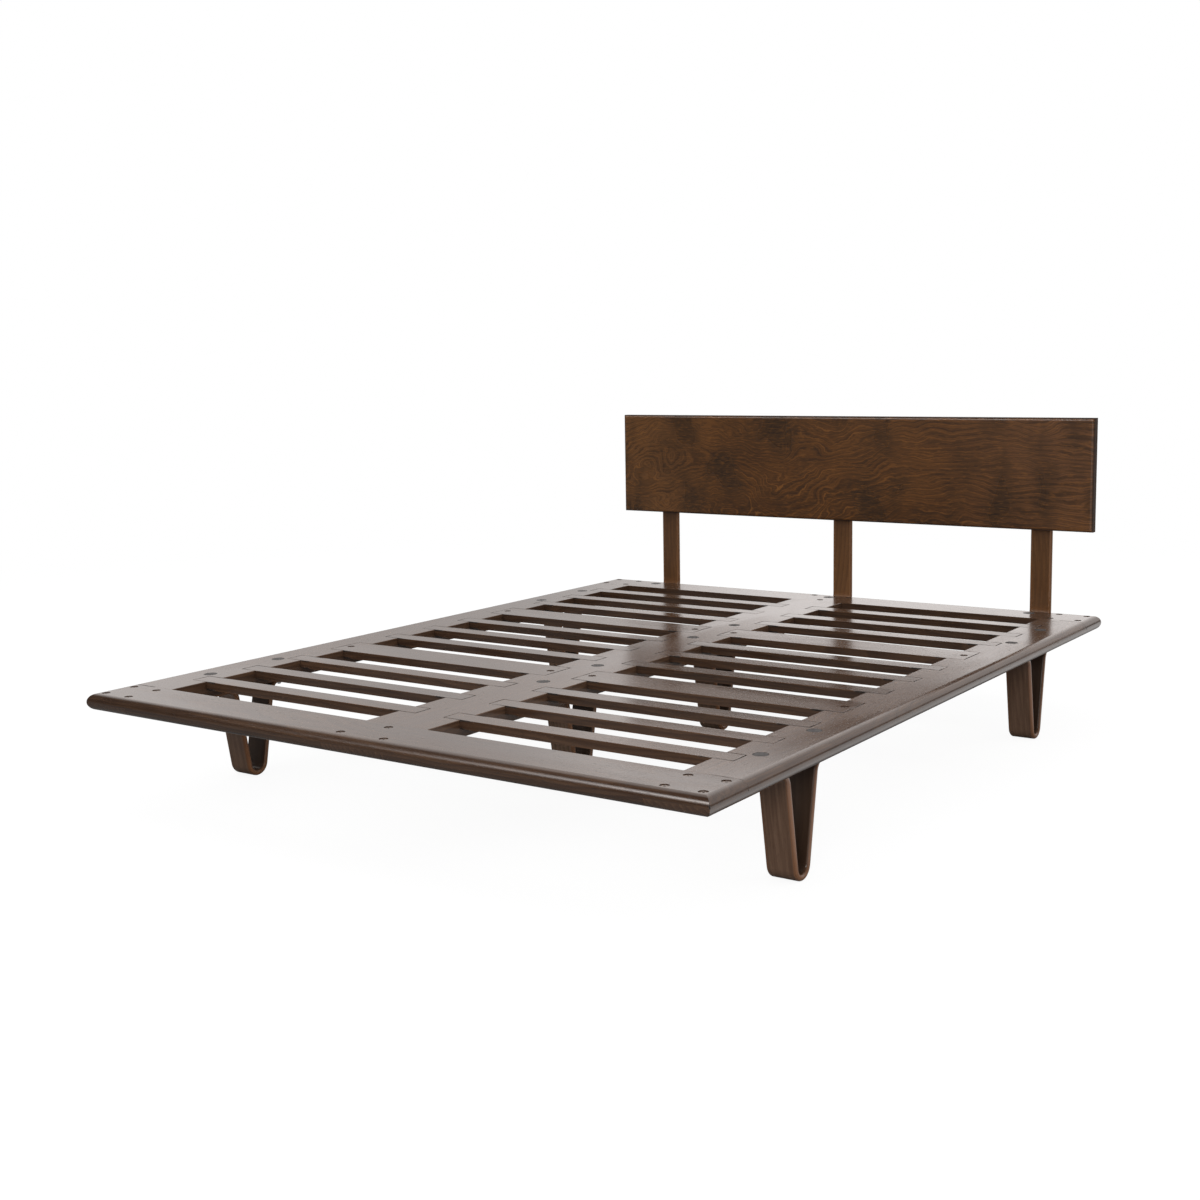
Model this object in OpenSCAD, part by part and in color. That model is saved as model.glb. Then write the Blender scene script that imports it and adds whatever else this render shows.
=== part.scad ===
// Slatted platform bed on bentwood straps, with a plain panel headboard.
// Millimetres. X runs across the bed, Y from the foot to the head, Z up.
// The origin is on the floor, under the middle of the whole bed.

/* [Platform] */
// Width of the platform
platform_w = 1638; // [1400:1:1900]
// Length of the platform from the foot edge to the head edge
platform_l = 2146; // [2050:1:2300]
// Height of the deck above the floor
deck_h = 270; // [200:1:360]
// Thickness of the rails, and so the diameter of their round edges
rail_t = 38; // [34:1:46]
// Width of the foot, head and side rails
rail_w = 133; // [131:1:150]
// Width of the centre rail
centre_rail_w = 166; // [150:1:200]
// Chamfer on the straight edges beside the slat gaps
edge_ease = 1; // [0.4:0.1:2]

/* [Slats] */
// Thickness of a slat, let in flush with the deck
slat_t = 19; // [15:1:21]
// Width of a narrow slat
slat_narrow_w = 51; // [40:1:70]
// Width of a wide slat, which is bolted down
slat_wide_w = 107; // [90:1:130]
// Length of a slat end that lies in its rail
slat_lap = 45; // [35:1:46]
// Gap round a slat end in its pocket
pocket_clear = 0.4; // [0.2:0.1:1]

/* [Rail joints] */
// Thickness of the upper half of each half lap
lap_t = 19; // [15:1:21]
// Gap at the shoulders of a half lap
lap_clear = 0.3; // [0.2:0.1:0.6]
// Distance of the outer joint bolts from the platform's edge
joint_bolt_inset = 31; // [28:1:36]
// Distance between the joint bolts
joint_bolt_pitch = 78; // [60:1:80]
// Distance between the two outer bolts of a centre joint
centre_bolt_pitch = 116; // [90:1:125]

/* [Joint bolts] */
// Diameter of the recess for a joint bolt's head
recess_d = 19; // [18.6:0.1:22]
// Depth of a joint bolt's head below the deck
recess_h = 1.5; // [1:0.5:5]
// Diameter of a joint bolt's flat head
joint_head_d = 18; // [14:0.5:18.4]
// Thickness of a joint bolt's head
joint_head_h = 2.5; // [2:0.5:4]
// Diameter of a joint bolt's shank
joint_shank_d = 6; // [5:0.5:7]
// Length of a joint bolt under its head
joint_shank_l = 24; // [20:1:26]
// Width across the flats of the hexagon sockets
socket_flats = 4; // [3:0.5:5]
// Depth of the hexagon sockets
socket_h = 2; // [1:0.5:4]
// Outer diameter of the threaded inserts
insert_d = 10; // [9:0.5:12]
// Length of the threaded inserts
insert_l = 12; // [10:1:13]
// Gap between a shank and its hole, on the diameter
bore_clear = 0.6; // [0.3:0.1:1]

/* [Bentwood straps] */
// Thickness of the bent legs and posts, which have half-round edges
strap_t = 13.5; // [10:0.5:16]
// Width of a leg
leg_w = 67; // [50:1:90]
// Lean of a leg's arms from upright
leg_lean = 10; // [7:1:14]
// Outer radius of a leg's bend at the floor
leg_foot_r = 32; // [24:1:38]
// Radius of the hollow under a leg's flange
leg_top_r = 19; // [12:1:28]
// Distance between the two bolts of a leg
leg_bolt_span = 219; // [205:1:250]
// Length of a strap past its bolt
strap_end = 27; // [20:1:34]
// Distance of the corner legs from the ends of the platform
leg_inset = 412; // [330:1:500]
// Distance of the corner legs' middles from the sides of the platform
leg_side_inset = 70; // [56:1:71]
// Width of a headboard post
post_w = 63; // [45:1:70]
// Distance of the outer posts' middles from the sides of the platform
post_inset = 190; // [175:1:260]
// Radius of the hollow side of a post's bend
post_bend_r = 38; // [20:1:40]
// Distance of the post bolts from the head edge of the platform
post_bolt_inset = 51; // [44:1:70]

/* [Strap bolts] */
// Diameter of the round plugs over the strap bolts
plug_d = 32; // [28:1:34]
// Thickness of the plugs
plug_h = 6; // [4:0.5:9]
// Gap round a plug
plug_clear = 0.3; // [0.2:0.1:0.5]
// Chamfer on a plug's upper edge
plug_ease = 0.6; // [0.2:0.1:1]
// Width across the flats of a strap bolt's head and nut
hex_flats = 13; // [11:1:15]
// Height of a strap bolt's head
hex_head_h = 5.5; // [4:0.5:7]
// Diameter of a strap bolt's shank
strap_shank_d = 8; // [6:0.5:9]
// Outer diameter of the washers
washer_d = 24; // [20:1:28]
// Thickness of the washers
washer_h = 1.8; // [1:0.1:3]
// Height of the nuts
nut_h = 6.5; // [5:0.5:9]
// Length of thread that shows past a nut
thread_past_nut = 3; // [1:0.5:6]

/* [Headboard] */
// Distance of the panel's ends from the sides of the platform
panel_inset = 33; // [-40:1:90]
// Height of the panel
panel_h = 320; // [260:1:420]
// Thickness of the panel
panel_t = 35; // [28:1:40]
// Height of the panel's lower edge above the deck
panel_lift = 231; // [150:1:320]
// Distance of the panel's front face behind the head edge
panel_setback = 6; // [3:1:20]
// Radius on the panel's edges
panel_edge_r = 8; // [2:0.5:8]
// Distance of the posts' tops below the panel's top
post_top_drop = 45; // [30:1:80]
// Distance of the panel bolts from the panel's lower edge and the posts' tops
panel_bolt_inset = 50; // [30:1:70]
// Diameter of a panel bolt's rounded head
button_d = 12; // [10:0.5:13]
// Height of a panel bolt's rounded head
button_h = 4; // [3:0.5:5]
// Outer diameter of the washers under the panel bolts
panel_washer_d = 18; // [15:1:20]
// Thickness of the washers under the panel bolts
panel_washer_h = 1.5; // [1:0.1:2.5]

/* [Hidden] */
$fn = 96;

// Overshoot of a cut past the face that it opens
cut = 1;
// Gap that keeps a bolt's end clear of wood, and a plug clear of its bolt
end_gap = 0.5;
// A bend is thinner than the straight runs by bend_shy on every side, and its ends go bend_tuck
// into them, so that each run closes cleanly round its bend
bend_shy = 0.05;
bend_tuck = 0.3;

// Rows of slats from the foot to the head: 1 is a wide slat, 0 a narrow one
row_wide = [0, 0, 0, 1, 0, 0, 0, 1, 0, 0, 0];
rows = len(row_wide);
wide_rows = [for (i = [0 : rows - 1]) if (row_wide[i] == 1) i];
function slat_w(i) = row_wide[i] == 1 ? slat_wide_w : slat_narrow_w;
function slats_before(i) = i == 0 ? 0 : slats_before(i - 1) + slat_w(i - 1);
slat_gap = (platform_l - 2 * rail_w - slats_before(rows)) / (rows + 1);

// The whole bed reaches from the foot edge to the back of the posts
post_front = platform_l + panel_setback + panel_t;
button_out = panel_washer_h + button_h;
overall_l = post_front + strap_t + button_out;
foot_y = -overall_l / 2;
head_y = foot_y + platform_l;
function slat_y(i) = foot_y + rail_w + (i + 1) * slat_gap + slats_before(i) + slat_w(i) / 2;

panel_w = platform_w - 2 * panel_inset;
rail_low = deck_h - rail_t;
rail_mid = deck_h - lap_t;
edge_r = rail_t / 2;
side_in = platform_w / 2 - rail_w;
centre_in = centre_rail_w / 2;
side_axis = platform_w / 2 - leg_side_inset;

// A slat runs from its pocket in the centre rail to its pocket in the side rail
slat_start = centre_in - slat_lap;
slat_l = side_in - centre_in + 2 * slat_lap;

// Places of the joint bolts
corner_bolts = [
    for (sx = [-1, 1], dx = [0, joint_bolt_pitch], y = [
        foot_y + joint_bolt_inset, foot_y + joint_bolt_inset + joint_bolt_pitch,
        head_y - joint_bolt_inset, head_y - joint_bolt_inset - joint_bolt_pitch])
    [sx * (platform_w / 2 - joint_bolt_inset - dx), y]
];
centre_joint_bolts = [
    for (s = [0, 1], p = [[-0.5, 0], [0.5, 0], [0, 1]])
    [p[0] * centre_bolt_pitch,
     (s == 0 ? foot_y : head_y) + (s == 0 ? 1 : -1) * (joint_bolt_inset + p[1] * joint_bolt_pitch)]
];
rail_bolt_places = concat(corner_bolts, centre_joint_bolts);
slat_bolt_places = [
    for (i = wide_rows, sx = [-1, 1], x = [centre_in - slat_lap / 2, side_in + slat_lap / 2])
    [sx * x, slat_y(i)]
];

// Places of the legs and posts, and of the bolts that hold them
leg_places = [
    [-side_axis, foot_y + leg_inset], [side_axis, foot_y + leg_inset],
    [-side_axis, head_y - leg_inset], [side_axis, head_y - leg_inset],
    [0, slat_y(wide_rows[0])], [0, slat_y(wide_rows[1])]
];
post_x = platform_w / 2 - post_inset;
post_places = [-post_x, 0, post_x];
leg_bolt_places = [for (p = leg_places, s = [-0.5, 0.5]) [p[0], p[1] + s * leg_bolt_span]];
post_bolt_places = [for (x = post_places) [x, head_y - post_bolt_inset]];
strap_bolt_places = concat(leg_bolt_places, post_bolt_places);

// Depths of the stepped hole for a strap bolt
strap_head_top = deck_h - plug_h - end_gap;
strap_seat = strap_head_top - hex_head_h;
strap_low = rail_low - strap_t;

// Heights of the panel and of its bolts
panel_low = deck_h + panel_lift;
post_top = panel_low + panel_h - post_top_drop;
panel_bolt_heights = [panel_low + panel_bolt_inset, post_top - panel_bolt_inset];
panel_back = foot_y + post_front;
post_back = panel_back + strap_t;

// Corner-to-corner diameter of a hexagon from its width across the flats
function hex_d(flats) = flats / cos(30);

// The profile of every bentwood strap: flat faces and half-round edges
module strap_profile(w, t) {
    square([t, w - t], center = true);
    for (s = [-1, 1]) translate([0, s * (w - t) / 2]) circle(d = t, $fn = 48);
}

// A straight length of strap along +X, with its width along Z
module strap_run(w, l) {
    rotate([90, 0, 90]) linear_extrude(l) strap_profile(w, strap_t);
}

// A bend round Z from angle a0 to a1, with the strap's middle at radius r
module strap_bend(w, r, a0, a1) {
    over = bend_tuck / r * 180 / PI;
    rotate([0, 0, a0 - over]) rotate_extrude(angle = a1 - a0 + 2 * over) translate([r, 0])
        strap_profile(w - 2 * bend_shy, strap_t - 2 * bend_shy);
}

// Turns a strap drawn in the XY plane upright, so that X runs along the bed
module stand() {
    rotate([90, 0, 90]) children();
}

// The centre line of a leg, drawn flat: X runs along the bed from the leg's middle, Y up from
// the floor. An arm leaves the bend at the floor at arm_start and meets the bend under the
// flange, whose centre is top_c
leg_bend_r = leg_foot_r - strap_t / 2;
leg_foot_c = [0, leg_foot_r - bend_shy];
arm_out = [cos(leg_lean), -sin(leg_lean)];
arm_up = [sin(leg_lean), cos(leg_lean)];
arm_start = leg_foot_c + leg_bend_r * arm_out;
top_bend_r = leg_top_r + strap_t / 2;
top_c_y = rail_low - strap_t / 2 - top_bend_r;
top_c_x = arm_start[0] + (top_bend_r + (top_c_y - arm_start[1]) * arm_up[0]) / arm_up[1];
arm_l = ([top_c_x, top_c_y] - arm_start) * arm_up;
leg_flange_l = leg_bolt_span / 2 + strap_end - top_c_x;

// One side of a leg, above the bend at the floor
module leg_side() {
    translate(arm_start) rotate([0, 0, 90 - leg_lean]) strap_run(leg_w, arm_l);
    translate([top_c_x, top_c_y]) strap_bend(leg_w, top_bend_r, 90, 180 - leg_lean);
    translate([top_c_x, rail_low - strap_t / 2]) strap_run(leg_w, leg_flange_l);
}

module leg(place) {
    color("#5a4636") difference() {
        translate([place[0], place[1], 0]) stand() union() {
            translate(leg_foot_c) strap_bend(leg_w, leg_bend_r, leg_lean - 180, -leg_lean);
            leg_side();
            mirror([1, 0, 0]) leg_side();
        }
        for (s = [-0.5, 0.5])
            translate([place[0], place[1] + s * leg_bolt_span, 0]) strap_bore();
    }
}

// A post: a flange under the head rail, a bend behind the rail, and an upright behind the panel
module post(x) {
    flange_front = head_y - post_bolt_inset - strap_end;
    bend_c = [panel_back - post_bend_r, rail_low + post_bend_r];
    color("#4d3829") difference() {
        translate([x, 0, 0]) stand() union() {
            translate([flange_front, rail_low - strap_t / 2])
                strap_run(post_w, bend_c[0] - flange_front);
            translate(bend_c) strap_bend(post_w, post_bend_r + strap_t / 2, -90, 0);
            translate([panel_back + strap_t / 2, bend_c[1]]) rotate([0, 0, 90])
                strap_run(post_w, post_top - bend_c[1]);
        }
        translate([x, head_y - post_bolt_inset, 0]) strap_bore();
        for (z = panel_bolt_heights)
            translate([x, panel_back - cut, z]) rotate([-90, 0, 0])
                cylinder(h = strap_t + 2 * cut, d = joint_shank_d + bore_clear);
    }
}

// A plate with round outer edges: the platform before it is divided into rails
module round_edged_plate() {
    intersection() {
        translate([0, head_y, 0]) rotate([90, 0, 0]) linear_extrude(platform_l)
            edge_profile(platform_w);
        translate([-platform_w / 2, (foot_y + head_y) / 2, 0]) rotate([90, 0, 90])
            linear_extrude(platform_w) edge_profile(platform_l);
    }
}

module edge_profile(w) {
    translate([0, rail_low + edge_r]) {
        square([w - rail_t, rail_t], center = true);
        for (s = [-1, 1]) translate([s * (w / 2 - edge_r), 0]) circle(r = edge_r);
    }
}

// A block from one corner to the opposite one
module block(low, high) {
    translate(low) cube(high - low);
}

// A 45 degree cut along a top edge that runs along X from x0 to x1. side is 1 where the edge
// faces +Y and -1 where it faces -Y
module ease_x(x0, x1, y, side) {
    translate([x0, y, deck_h]) rotate([-side * 45, 0, 0])
        translate([0, -2 * edge_ease, -edge_ease / sqrt(2)])
            cube([x1 - x0, 4 * edge_ease, 2 * edge_ease]);
}

// The same along Y from y0 to y1, where the edge faces +X or -X
module ease_y(x, y0, y1, side) {
    translate([x, y0, deck_h]) rotate([0, side * 45, 0])
        translate([-2 * edge_ease, 0, -edge_ease / sqrt(2)])
            cube([4 * edge_ease, y1 - y0, 2 * edge_ease]);
}

// Stepped hole for a joint bolt, down through the upper piece
module joint_bore(p) {
    translate([p[0], p[1], deck_h - recess_h - joint_head_h])
        cylinder(h = recess_h + joint_head_h + cut, d = recess_d);
    translate([p[0], p[1], rail_mid - cut])
        cylinder(h = lap_t + cut, d = joint_shank_d + bore_clear);
}

// Blind hole for a threaded insert, down from the lower piece's face at height z
module insert_bore(p, z) {
    translate([p[0], p[1], z - insert_l - end_gap])
        cylinder(h = insert_l + end_gap + cut, d = insert_d);
}

// Straight hole through a strap
module strap_bore() {
    translate([0, 0, strap_low - cut])
        cylinder(h = strap_t + 2 * cut, d = strap_shank_d + bore_clear);
}

// Stepped hole for a strap bolt and its plug, down through a rail
module plugged_bore(p) {
    translate([p[0], p[1], strap_seat]) cylinder(h = deck_h - strap_seat + cut, d = plug_d);
    translate([p[0], p[1], rail_low - cut])
        cylinder(h = rail_t, d = strap_shank_d + bore_clear);
}

// The pockets for the slat ends in the rail that starts at x and runs towards dir
module pockets(x, dir) {
    reach = dir * (slat_lap + pocket_clear);
    for (i = [0 : rows - 1]) {
        half = slat_w(i) / 2 + pocket_clear;
        block([min(x - dir * cut, x + reach), slat_y(i) - half, deck_h - slat_t],
              [max(x - dir * cut, x + reach), slat_y(i) + half, deck_h + cut]);
    }
}

// A foot or head rail lies over the ends of the long rails. end is 1 at the head, -1 at the foot
module end_rail(end) {
    edge = end > 0 ? head_y : foot_y;
    inner = edge - end * rail_w;
    y0 = min(edge, inner) - (end < 0 ? cut : 0);
    y1 = max(edge, inner) + (end > 0 ? cut : 0);
    color("#6b574b") difference() {
        intersection() {
            round_edged_plate();
            block([-platform_w, y0, rail_low - cut], [platform_w, y1, deck_h + cut]);
        }
        for (s = [-1, 1])
            block([s > 0 ? side_in - lap_clear : -platform_w, y0 - cut, rail_low - cut],
                  [s > 0 ? platform_w : -side_in + lap_clear, y1 + cut, rail_mid]);
        block([-centre_in - lap_clear, y0 - cut, rail_low - cut],
              [centre_in + lap_clear, y1 + cut, rail_mid]);
        for (s = [-1, 1])
            ease_x(min(s * centre_in, s * side_in), max(s * centre_in, s * side_in), inner, -end);
        for (p = rail_bolt_places) if (p[1] * end > 0) joint_bore(p);
        if (end > 0) for (p = post_bolt_places) plugged_bore(p);
    }
}

// A long rail between x0 and x1: full thickness between the end rails, with a tongue under each
module long_rail(x0, x1) {
    shoulder = rail_w + lap_clear;
    color("#6b574b") difference() {
        intersection() {
            round_edged_plate();
            block([x0, foot_y - cut, rail_low - cut], [x1, head_y + cut, deck_h + cut]);
        }
        block([x0 - cut, foot_y - cut, rail_mid], [x1 + cut, foot_y + shoulder, deck_h + cut]);
        block([x0 - cut, head_y - shoulder, rail_mid], [x1 + cut, head_y + cut, deck_h + cut]);
        for (p = rail_bolt_places) if (p[0] > x0 && p[0] < x1) insert_bore(p, rail_mid);
        for (p = leg_bolt_places) if (p[0] > x0 && p[0] < x1) plugged_bore(p);
        for (p = post_bolt_places) if (p[0] > x0 && p[0] < x1) plugged_bore(p);
        for (p = slat_bolt_places) if (p[0] > x0 && p[0] < x1) insert_bore(p, deck_h - slat_t);
        if (x1 < platform_w / 2) {
            pockets(x1, -1);
            ease_y(x1, foot_y + rail_w, head_y - rail_w, 1);
        }
        if (x0 > -platform_w / 2) {
            pockets(x0, 1);
            ease_y(x0, foot_y + rail_w, head_y - rail_w, -1);
        }
    }
}

// A slat with eased top edges, bolted at both ends if it is a wide one. side is -1 left, 1 right
module slat(side, i) {
    x0 = side > 0 ? slat_start : -slat_start - slat_l;
    half = slat_w(i) / 2;
    color("#7a6659") difference() {
        block([x0, slat_y(i) - half, deck_h - slat_t], [x0 + slat_l, slat_y(i) + half, deck_h]);
        for (s = [-1, 1]) ease_x(x0 - cut, x0 + slat_l + cut, slat_y(i) + s * half, s);
        for (s = [-1, 1])
            ease_y(x0 + (1 + s) * slat_l / 2, slat_y(i) - half - cut, slat_y(i) + half + cut, s);
        if (row_wide[i] == 1)
            for (p = slat_bolt_places) if (p[0] * side > 0 && p[1] == slat_y(i)) joint_bore(p);
    }
}

module panel_profile(w, t) {
    square([w - 2 * panel_edge_r, t], center = true);
    square([w, t - 2 * panel_edge_r], center = true);
    for (x = [-1, 1], y = [-1, 1])
        translate([x * (w / 2 - panel_edge_r), y * (t / 2 - panel_edge_r)])
            circle(r = panel_edge_r);
}

// The panel, with rounded long edges and ends, and blind holes for its inserts
module headboard() {
    color("#5b3f2a") difference() {
        translate([0, panel_back - panel_t / 2, panel_low]) intersection() {
            linear_extrude(panel_h) panel_profile(panel_w, panel_t);
            translate([-panel_w / 2, 0, panel_h / 2]) rotate([90, 0, 90])
                linear_extrude(panel_w) rotate(90) panel_profile(panel_h, panel_t);
        }
        for (x = post_places, z = panel_bolt_heights)
            translate([x, panel_back + cut, z]) rotate([90, 0, 0])
                cylinder(h = insert_l + end_gap + cut, d = insert_d);
    }
}

module socket_cut(h) {
    translate([0, 0, -h]) cylinder(h = h + cut, d = hex_d(socket_flats), $fn = 6);
}

// A flat-headed joint bolt with its head's top at the origin
module joint_bolt() {
    difference() {
        union() {
            translate([0, 0, -joint_head_h]) cylinder(h = joint_head_h, d = joint_head_d);
            translate([0, 0, -joint_head_h - joint_shank_l])
                cylinder(h = joint_shank_l, d = joint_shank_d);
        }
        socket_cut(socket_h);
    }
}

module joint_bolts(places) {
    color("#6e6259") for (p = places)
        translate([p[0], p[1], deck_h - recess_h]) joint_bolt();
}

// A threaded insert with its mouth at the origin
module insert() {
    translate([0, 0, -insert_l]) difference() {
        cylinder(h = insert_l, d = insert_d);
        translate([0, 0, -cut])
            cylinder(h = insert_l + 2 * cut, d = joint_shank_d + bore_clear);
    }
}

module inserts(places, z) {
    color("#b8a069") for (p = places) translate([p[0], p[1], z]) insert();
}

// A hexagon-headed bolt from its head in the rail down through the strap and the nut
module strap_bolts() {
    shank_l = strap_seat - strap_low + washer_h + nut_h + thread_past_nut;
    color("#8c8c90") for (p = strap_bolt_places) translate([p[0], p[1], strap_seat]) {
        cylinder(h = hex_head_h, d = hex_d(hex_flats), $fn = 6);
        translate([0, 0, -shank_l]) cylinder(h = shank_l, d = strap_shank_d);
    }
}

// The flush round plugs that hide the strap bolts
module strap_plugs() {
    d = plug_d - 2 * plug_clear;
    color("#3f4144") for (p = strap_bolt_places) {
        translate([p[0], p[1], deck_h - plug_h]) cylinder(h = plug_h - plug_ease, d = d);
        translate([p[0], p[1], deck_h - plug_ease])
            cylinder(h = plug_ease, d1 = d, d2 = d - 2 * plug_ease);
    }
}

module washer(d, hole, h) {
    difference() {
        cylinder(h = h, d = d);
        translate([0, 0, -cut]) cylinder(h = h + 2 * cut, d = hole);
    }
}

module strap_washers() {
    color("#9a9a9e") for (p = strap_bolt_places)
        translate([p[0], p[1], strap_low - washer_h])
            washer(washer_d, strap_shank_d + bore_clear, washer_h);
}

module strap_nuts() {
    color("#8c8c90") for (p = strap_bolt_places)
        translate([p[0], p[1], strap_low - washer_h - nut_h]) difference() {
            cylinder(h = nut_h, d = hex_d(hex_flats), $fn = 6);
            translate([0, 0, -cut])
                cylinder(h = nut_h + 2 * cut, d = strap_shank_d + bore_clear);
        }
}

// Places a fastener on the back of each post, with +Z pointing backwards out of the post
module at_panel_bolts(y) {
    for (x = post_places, z = panel_bolt_heights)
        translate([x, y, z]) rotate([-90, 0, 0]) children();
}

// Round-headed bolts through the posts into the panel
module panel_bolts() {
    shank_l = panel_washer_h + strap_t + insert_l;
    color("#8c8c90") at_panel_bolts(post_back + panel_washer_h) difference() {
        union() {
            cylinder(h = button_h / 2, d = button_d);
            translate([0, 0, button_h / 2]) cylinder(h = button_h / 2, d1 = button_d, d2 = button_d / 2);
            translate([0, 0, -shank_l]) cylinder(h = shank_l, d = joint_shank_d);
        }
        translate([0, 0, button_h]) socket_cut(socket_h);
    }
}

module panel_washers() {
    color("#9a9a9e") at_panel_bolts(post_back)
        washer(panel_washer_d, joint_shank_d + bore_clear, panel_washer_h);
}

module panel_inserts() {
    color("#b8a069") at_panel_bolts(panel_back) insert();
}

end_rail(-1);  // foot_rail
end_rail(1);  // head_rail
long_rail(-platform_w / 2, -side_in);  // side_rail_left
long_rail(side_in, platform_w / 2);  // side_rail_right
long_rail(-centre_in, centre_in);  // centre_rail
for (i = [0 : rows - 1]) {
    slat(-1, i);
    slat(1, i);
}
leg(leg_places[0]);  // leg_foot_left
leg(leg_places[1]);  // leg_foot_right
leg(leg_places[2]);  // leg_head_left
leg(leg_places[3]);  // leg_head_right
leg(leg_places[4]);  // leg_centre_foot
leg(leg_places[5]);  // leg_centre_head
post(post_places[0]);  // post_left
post(post_places[1]);  // post_centre
post(post_places[2]);  // post_right
headboard();
joint_bolts(rail_bolt_places);  // rail_joint_bolts
inserts(rail_bolt_places, rail_mid);  // rail_joint_inserts
joint_bolts(slat_bolt_places);  // slat_bolts
inserts(slat_bolt_places, deck_h - slat_t);  // slat_inserts
strap_bolts();
strap_plugs();
strap_washers();
strap_nuts();
panel_bolts();
panel_washers();
panel_inserts();
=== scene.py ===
# %% [markdown]
# # A bentwood bed
#
# A low platform bed in dark stained wood: flush rails and slats with a satin lacquer, six legs
# bent from one strap each into a V, three bent posts, and a plain veneered headboard.
#
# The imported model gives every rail, slat and bolt its exact shape and place. This lesson adds
# what makes it look like the real bed: the camera, the studio light, straps with rounded edges
# made again with their own grain direction, and the wood, metal and plastic finishes.

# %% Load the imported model
from math import cos, pi, radians, sin

import bmesh
import bpy
import numpy as np
from mathutils import Matrix, Vector


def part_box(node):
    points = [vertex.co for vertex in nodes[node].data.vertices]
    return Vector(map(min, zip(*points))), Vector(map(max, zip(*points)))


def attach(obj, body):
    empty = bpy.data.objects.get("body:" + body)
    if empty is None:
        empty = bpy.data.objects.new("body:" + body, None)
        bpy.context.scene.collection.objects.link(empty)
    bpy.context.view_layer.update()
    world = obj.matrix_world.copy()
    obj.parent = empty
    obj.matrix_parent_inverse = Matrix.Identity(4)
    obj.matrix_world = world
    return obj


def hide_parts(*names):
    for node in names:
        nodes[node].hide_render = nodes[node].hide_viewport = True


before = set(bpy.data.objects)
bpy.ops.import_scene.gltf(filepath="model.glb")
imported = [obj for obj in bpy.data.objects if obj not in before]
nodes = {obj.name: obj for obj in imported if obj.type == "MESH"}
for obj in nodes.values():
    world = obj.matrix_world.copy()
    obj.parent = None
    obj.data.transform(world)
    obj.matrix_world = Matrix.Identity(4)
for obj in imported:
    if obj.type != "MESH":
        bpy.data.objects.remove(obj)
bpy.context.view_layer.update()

scene = bpy.context.scene
scene.view_settings.view_transform = "Standard"

# %% [markdown]
# The camera stands in front of the bed's right corner, about waist high. It could be placed by
# eye, but here its place, turn and lens come from a fit to the corners, bolts and slat edges,
# so every edge of the model falls where it does in the photograph. The small shift is the
# picture's own framing.

# %% Camera
camera = bpy.data.objects.new("camera", bpy.data.cameras.new("camera"))
scene.collection.objects.link(camera)
camera.location = (2.1095, -3.2686, 0.9939)
camera.rotation_euler = [radians(a) for a in (82.619, 0.910, 34.374)]
camera.data.sensor_width = 36
camera.data.lens = 46.496
camera.data.shift_x, camera.data.shift_y = -0.00712, -0.03016
scene.camera = camera
print("camera", [round(n, 3) for n in camera.location], "lens", camera.data.lens)

# %% [markdown]
# Every finish below is built from nodes. Two small helpers keep those cells readable: one adds
# a node with its settings and links, the other does one sum. A colour is written as it looks on
# a screen, from 0 to 255, and turned into the linear values that a shader works in.

# %% Helpers for nodes and colours
def put(tree, kind, inputs=None, **settings):
    node = tree.nodes.new("ShaderNode" + kind)
    for name, value in settings.items():
        setattr(node, name, value)
    for name, value in (inputs or {}).items():
        if isinstance(value, bpy.types.NodeSocket):
            tree.links.new(value, node.inputs[name])
        else:
            node.inputs[name].default_value = value
    return node

def sum_of(tree, operation, a, b=0.0, c=0.0):
    return put(tree, "Math", {0: a, 1: b, 2: c}, operation=operation).outputs[0]

def fade(tree, value, start, end, low=0.0, high=1.0):
    node = put(tree, "MapRange", {"Value": value, "From Min": start, "From Max": end,
                                  "To Min": low, "To Max": high}, interpolation_type="SMOOTHSTEP")
    return node.outputs["Result"]

def blend(tree, factor, a, b, kind="MIX"):
    node = put(tree, "Mix", data_type="RGBA", blend_type=kind)
    for socket, value in ((node.inputs[0], factor), (node.inputs[6], a), (node.inputs[7], b)):
        if isinstance(value, bpy.types.NodeSocket):
            tree.links.new(value, socket)
        else:
            socket.default_value = value
    return node.outputs[2]

def colour(*screen):
    linear = [(n / 255 / 12.92) if n < 10.3 else ((n / 255 + 0.055) / 1.055) ** 2.4
              for n in screen]
    return (*linear, 1.0)

def group(name, inputs, outputs):
    tree = bpy.data.node_groups.new(name, "ShaderNodeTree")
    for label, kind, value in inputs:
        socket = tree.interface.new_socket(label, in_out="INPUT", socket_type="NodeSocket" + kind)
        socket.default_value = value
    for label, kind in outputs:
        tree.interface.new_socket(label, in_out="OUTPUT", socket_type="NodeSocket" + kind)
    return tree, tree.nodes.new("NodeGroupInput"), tree.nodes.new("NodeGroupOutput")

print("walnut stain, linear", [round(n, 3) for n in colour(70, 48, 36)[:3]])

# %% [markdown]
# The studio is a white sweep. The floor is drawn white where the camera sees it, and a thin
# share of real shading is left on it, so that the soft contact shadows under the legs stay.
# Gloss sees a dim floor with one bright strip at the bed's right, as a sheet of white paper
# would be. A disc does for the floor, because no edge of it is in sight.

# %% Floor disc
floor_r = 24
bm = bmesh.new()
bmesh.ops.create_circle(bm, cap_ends=True, segments=64, radius=floor_r)
floor_mesh = bpy.data.meshes.new("floor")
bm.to_mesh(floor_mesh)
bm.free()
floor = bpy.data.objects.new("floor", floor_mesh)
scene.collection.objects.link(floor)
print("floor radius", floor_r, "m")

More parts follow.
